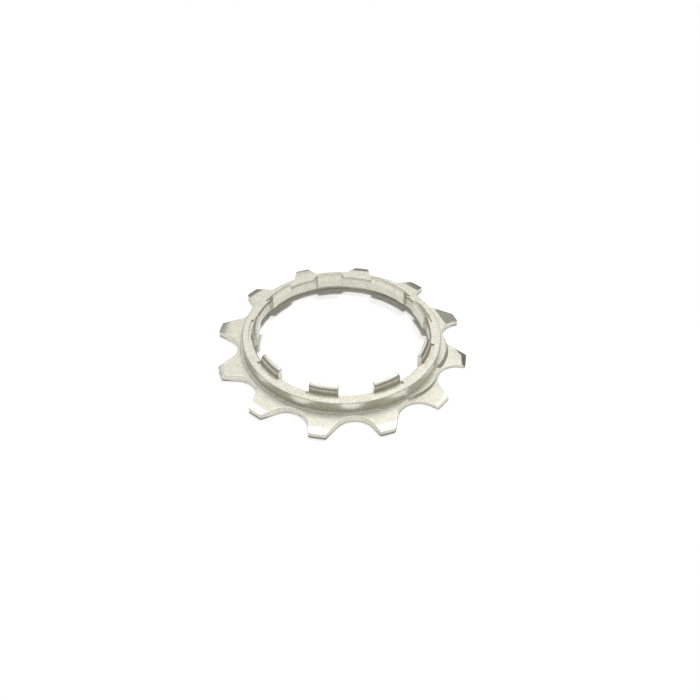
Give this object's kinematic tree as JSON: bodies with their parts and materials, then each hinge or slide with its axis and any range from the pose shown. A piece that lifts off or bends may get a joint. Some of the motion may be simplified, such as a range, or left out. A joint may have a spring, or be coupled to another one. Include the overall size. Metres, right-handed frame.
{
  "type": "cassette cog",
  "caption": "One-piece steel bicycle cassette cog: a toothed plate with shift bevels and recesses, a spacer collar on its outboard side and raised drive lugs round the bore.",
  "frame": {"origin": "on the axis of the bore, in the plane of the back (inboard) face", "axes": "+Z along the axis, outboard, from the toothed plate to the collar and lugs; +Y at the regular place of the wide drive lug, so the lugs stand at 90 degrees and every 40 degrees on; +X to the right of +Y seen from outboard"},
  "size_m": [0.05, 0.0499, 0.0055],
  "materials": {
    "plated_steel": "matte nickel-plated steel, fine tumbled grain, warm champagne silver"
  },
  "bodies": {
    "root": {"cog": "plated_steel"}
  },
  "joints": []
}
